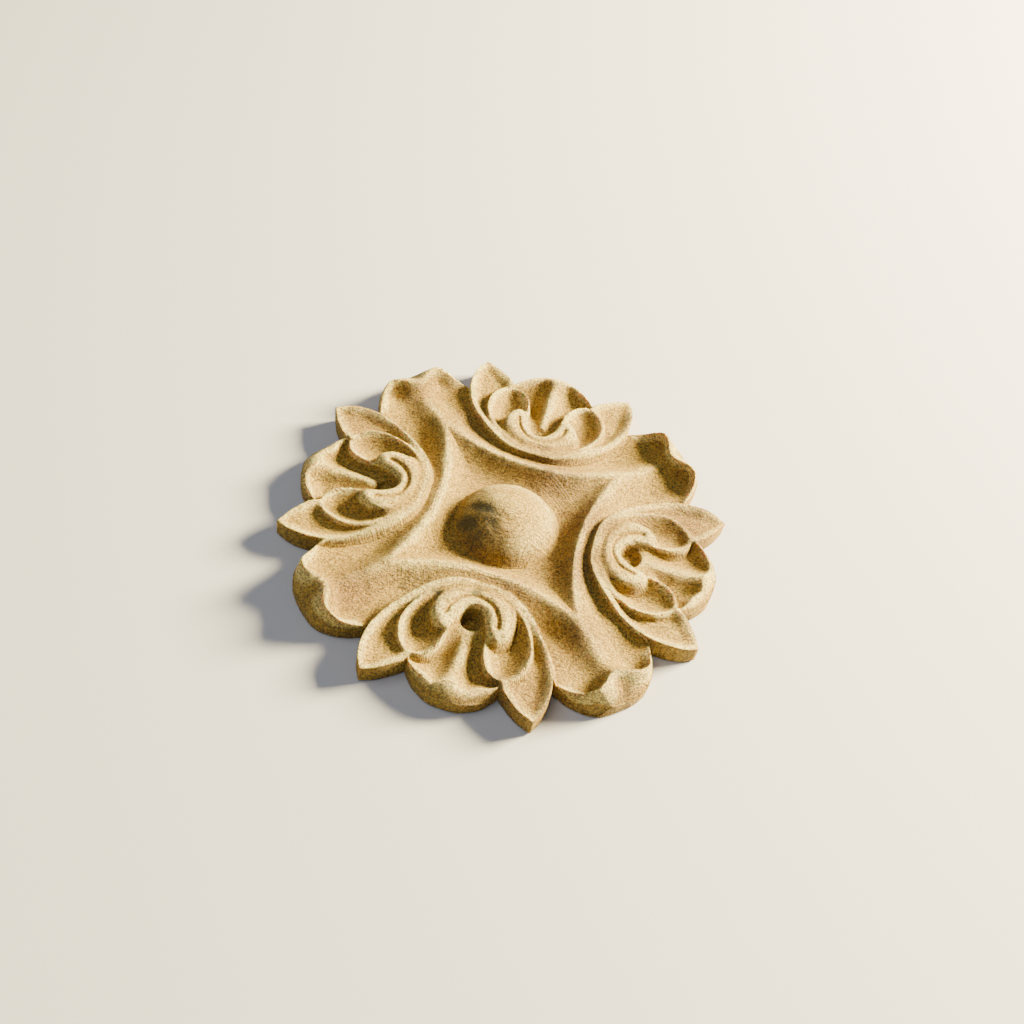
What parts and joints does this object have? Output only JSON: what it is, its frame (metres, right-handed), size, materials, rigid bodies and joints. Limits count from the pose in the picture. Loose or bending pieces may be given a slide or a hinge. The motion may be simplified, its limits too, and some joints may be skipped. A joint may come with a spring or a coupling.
{
  "type": "carved wood onlay",
  "caption": "Round carved wood rosette onlay with a central dome, ribbed palmettes, pointed leaves and turned-up leaf arms, flat on the back for gluing to a panel.",
  "frame": {"origin": "middle of the flat back face, on the axis of the central dome", "axes": "+Z out of the carved face; a palmette lies along each of +X, +Y, -X and -Y and a leaf arm along each diagonal between them"},
  "size_m": [0.095, 0.095, 0.0105],
  "materials": {
    "carved_wood": "unfinished pale close-grained wood, straight from the carving cutter, slightly fibrous, darker in the recesses"
  },
  "bodies": {
    "root": {"carved_rosette": "carved_wood"}
  },
  "joints": []
}
